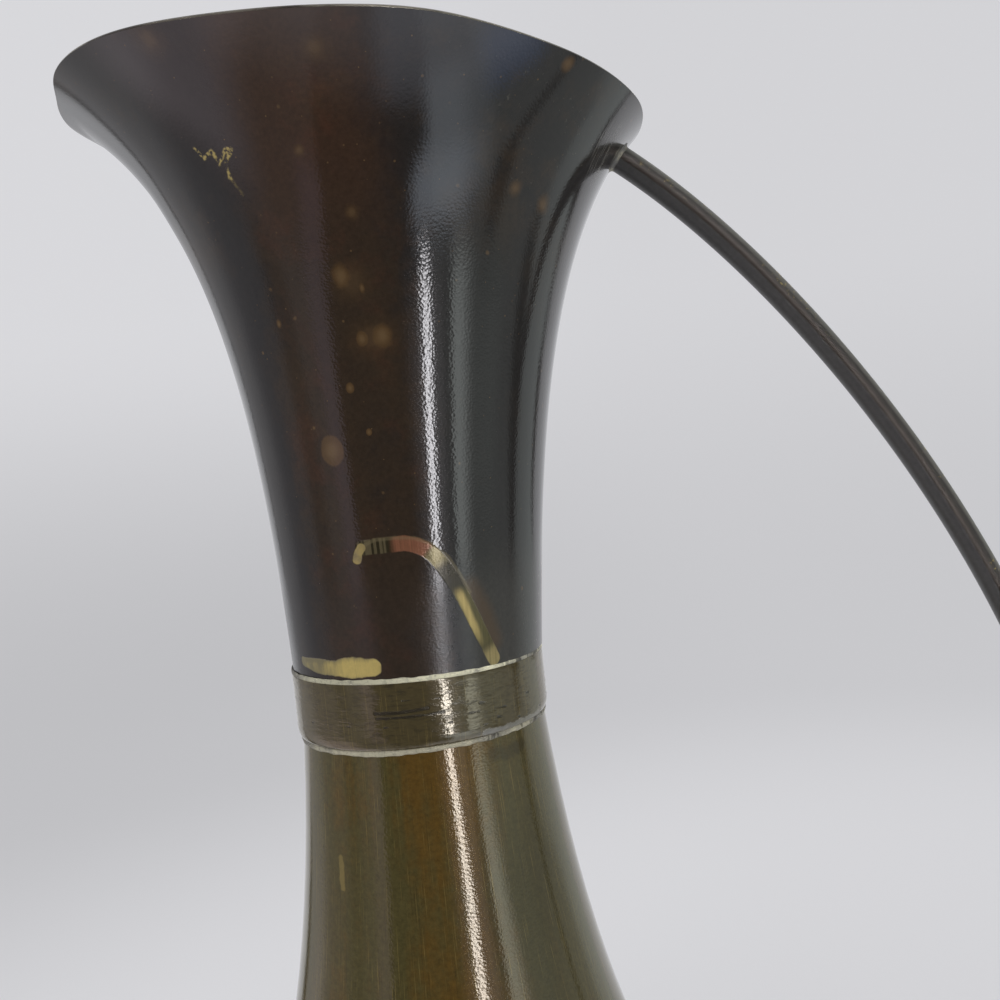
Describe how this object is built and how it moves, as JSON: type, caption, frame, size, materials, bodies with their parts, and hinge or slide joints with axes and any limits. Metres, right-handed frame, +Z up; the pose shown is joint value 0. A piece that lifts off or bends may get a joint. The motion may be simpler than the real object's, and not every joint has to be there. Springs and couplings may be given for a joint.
{
  "type": "ewer",
  "caption": "Tall sheet-brass ewer with a leaning trumpet neck, slanted pouring rim, plain collar, pear-shaped body and a long bent rod handle.",
  "frame": {"origin": "middle of the base disc's underside, on the body's axis", "axes": "+Z up along the body's axis, +X towards the handle, -X towards the pouring lip"},
  "size_m": [0.2615, 0.172, 0.3663],
  "materials": {
    "neck_patina": "dark glossy lacquered patina, worn through in spots",
    "collar_brass": "brushed round the band, tarnished",
    "body_bronze": "olive bronze, polished with fine scratches",
    "base_brass": "plain tarnished sheet",
    "rod_brass": "grey-brown drawn rod, rubbed bright in places",
    "solder": "dull whitish soft solder"
  },
  "bodies": {
    "root": {"neck_funnel": "neck_patina", "collar_band": "collar_brass", "body_shell": "body_bronze", "base_disc": "base_brass", "handle_rod": "rod_brass", "upper_seam_solder": "solder", "lower_seam_solder": "solder", "base_seam_solder": "solder", "handle_top_solder": "solder", "handle_bottom_solder": "solder"}
  },
  "joints": []
}
